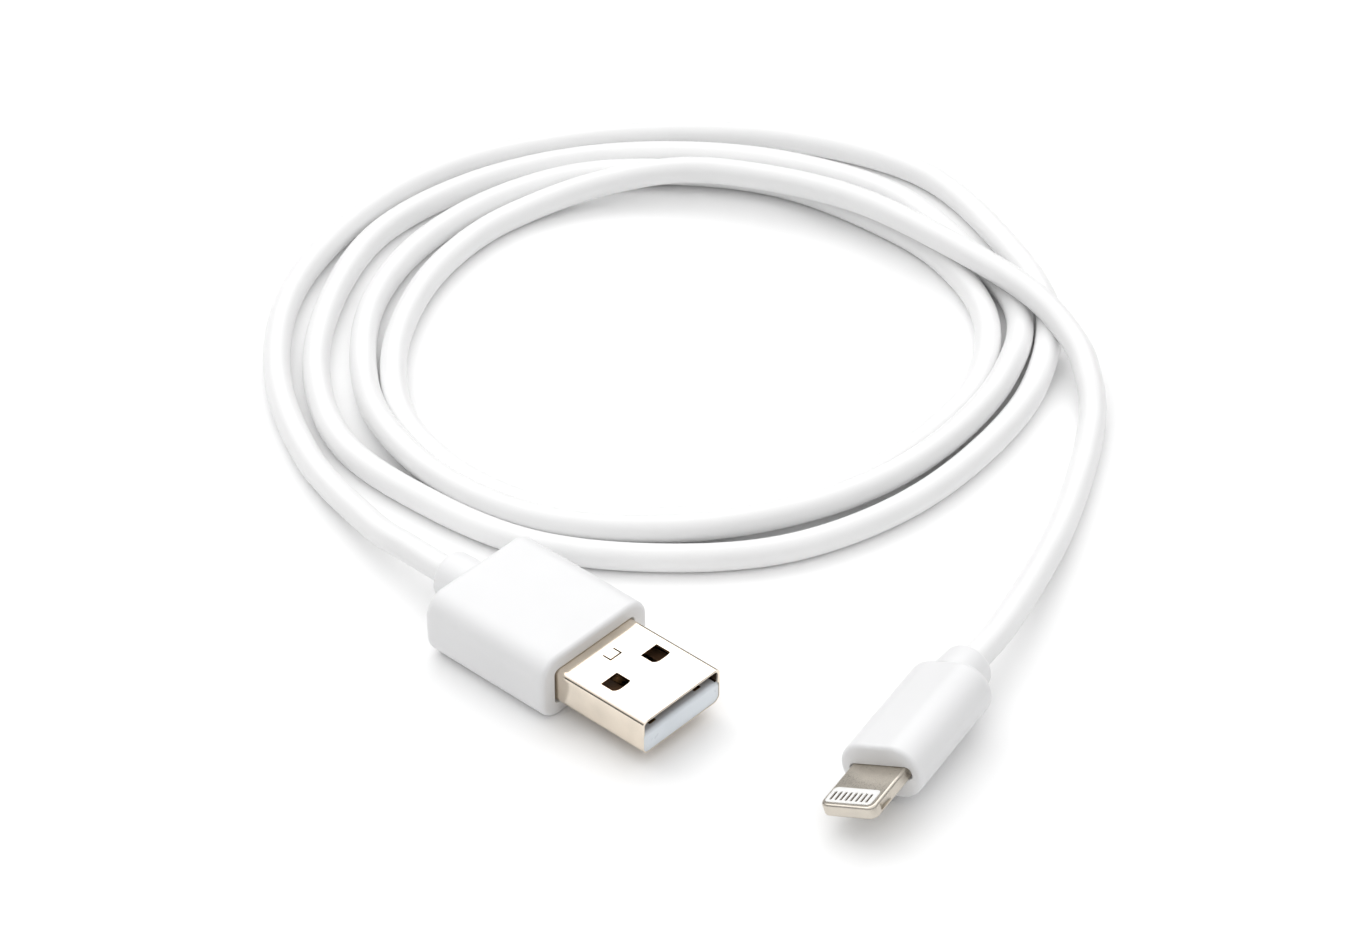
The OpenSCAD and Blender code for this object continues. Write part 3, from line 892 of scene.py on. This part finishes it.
def make_floor():
    bm = bmesh.new()
    bmesh.ops.create_grid(bm, x_segments=1, y_segments=1, size=3)
    floor = mesh_object("floor", bm, smooth=False)
    mat, shader = new_material("floor_white", (0.96, 0.96, 0.96), 0.6)
    shader.inputs["Specular IOR Level"].default_value = 0.1
    link(mat, spread(mat, noise(mat, 20, 2), 0.57, 0.63), shader.inputs["Roughness"])
    floor.data.materials.append(mat)


SOFTBOX_AIM = Vector((20, 0, 0)) * MM
SOFTBOX_DISTANCE = 1.2
SOFTBOX_SIZE = (2.0, 0.85)
SOFTBOX_POWER = 6.4
SOFTBOX_TURN = math.radians(22)  # to the left of straight ahead of the camera
SOFTBOX_ELEVATION = math.radians(50)


def make_softbox():
    data = bpy.data.lights.new("softbox", "AREA")
    data.shape = "RECTANGLE"
    data.size, data.size_y = SOFTBOX_SIZE
    data.energy = SOFTBOX_POWER
    light = bpy.data.objects.new("softbox", data)
    bpy.context.collection.objects.link(light)
    heading = CAMERA_HEADING + SOFTBOX_TURN
    flat = math.cos(SOFTBOX_ELEVATION)
    away = Vector((flat * math.cos(heading), flat * math.sin(heading),
                   math.sin(SOFTBOX_ELEVATION)))
    light.location = SOFTBOX_AIM + away * SOFTBOX_DISTANCE
    light.rotation_euler = (-away).to_track_quat("-Z", "Y").to_euler()


# The sky's brightness at a few sines of the elevation.
WORLD = [(0.0, 0.06), (0.32, 0.1), (0.57, 1.0), (1.0, 1.0)]
WORLD_STRENGTH = 1.17


def make_world():
    """A soft dome, darker near the horizon as in a studio with open sides."""
    world = bpy.data.worlds.new("studio")
    bpy.context.scene.world = world
    world.use_nodes = True
    nodes, links = world.node_tree.nodes, world.node_tree.links
    where = nodes.new("ShaderNodeTexCoord")
    split = nodes.new("ShaderNodeSeparateXYZ")
    ramp = nodes.new("ShaderNodeValToRGB")
    for _ in WORLD[2:]:
        ramp.color_ramp.elements.new(0.5)
    for element, (position, value) in zip(ramp.color_ramp.elements, WORLD):
        element.position = position
        element.color = (value, value, value, 1)
    links.new(where.outputs["Generated"], split.inputs["Vector"])
    links.new(split.outputs["Z"], ramp.inputs["Fac"])
    background = nodes["Background"]
    links.new(ramp.outputs["Color"], background.inputs["Color"])
    background.inputs["Strength"].default_value = WORLD_STRENGTH


bpy.context.scene.view_settings.view_transform = "Standard"
make_camera()
make_all()
make_floor()
make_softbox()
make_world()
